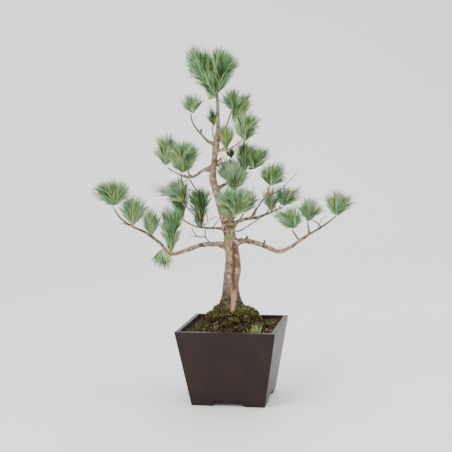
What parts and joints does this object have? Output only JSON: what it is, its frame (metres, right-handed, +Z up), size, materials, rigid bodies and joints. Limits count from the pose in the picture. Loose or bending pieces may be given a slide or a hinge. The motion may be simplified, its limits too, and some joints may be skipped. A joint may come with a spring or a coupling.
{
  "type": "potted white pine bonsai",
  "caption": "Young five-needle pine grown as a bonsai, with brush-like tufts of needles on spreading boughs, in a square tapered dark stoneware pot on corner feet.",
  "frame": {"origin": "middle of the pot's underside, level with the flat soles of its four feet", "axes": "+Z up, -Y out of the pot's front face, +X to the right of that face; the tree is turned 11 degrees anticlockwise in the pot, seen from above"},
  "size_m": [0.3897, 0.2174, 0.554],
  "materials": {
    "stoneware_pot": "matte",
    "potting_soil": "matte",
    "moss_mound": "matte",
    "bark": "matte",
    "needles": "satin"
  },
  "bodies": {
    "root": {"pot": "stoneware_pot", "soil": "potting_soil", "moss_mound": "moss_mound", "trunk": "bark", "bough_back_left": "bark", "bough_back_low": "bark", "bough_back_middle": "bark", "bough_back_top": "bark", "bough_back_upper": "bark", "bough_crown_right": "bark", "bough_front": "bark", "bough_front_upper": "bark", "bough_left_low_inner": "bark", "bough_left_low_outer": "bark", "bough_left_middle": "bark", "bough_left_top": "bark", "bough_left_upper": "bark", "bough_right_low_inner": "bark", "bough_right_low_outer": "bark", "bough_right_middle": "bark", "bough_right_top": "bark", "bough_right_upper": "bark", "foliage_apex_left": "needles", "foliage_apex_right": "needles", "foliage_back_left": "needles", "foliage_back_low": "needles", "foliage_back_middle": "needles", "foliage_back_top": "needles", "foliage_centre": "needles", "foliage_centre_upper": "needles", "foliage_crown_right": "needles", "foliage_left_brush": "needles", "foliage_left_dark": "needles", "foliage_left_elbow": "needles", "foliage_left_far": "needles", "foliage_left_inner": "needles", "foliage_left_low_2": "needles", "foliage_left_low_3": "needles", "foliage_left_tip": "needles", "foliage_left_top": "needles", "foliage_left_upper": "needles", "foliage_left_upper_back": "needles", "foliage_right_inner": "needles", "foliage_right_low_inner": "needles", "foliage_right_low_outer": "needles", "foliage_right_middle": "needles", "foliage_right_middle_tip": "needles", "foliage_right_tip": "needles", "foliage_right_top": "needles", "foliage_right_top_back": "needles", "foliage_right_upper": "needles", "foliage_right_upper_small": "needles", "foliage_right_upper_tip": "needles", "foliage_trunk_left": "needles", "foliage_trunk_right": "needles", "limb_left_inner": "bark", "limb_left_upper_back": "bark", "limb_right_inner": "bark", "stem_right_low_inner": "bark", "stem_right_low_outer": "bark"}
  },
  "joints": []
}
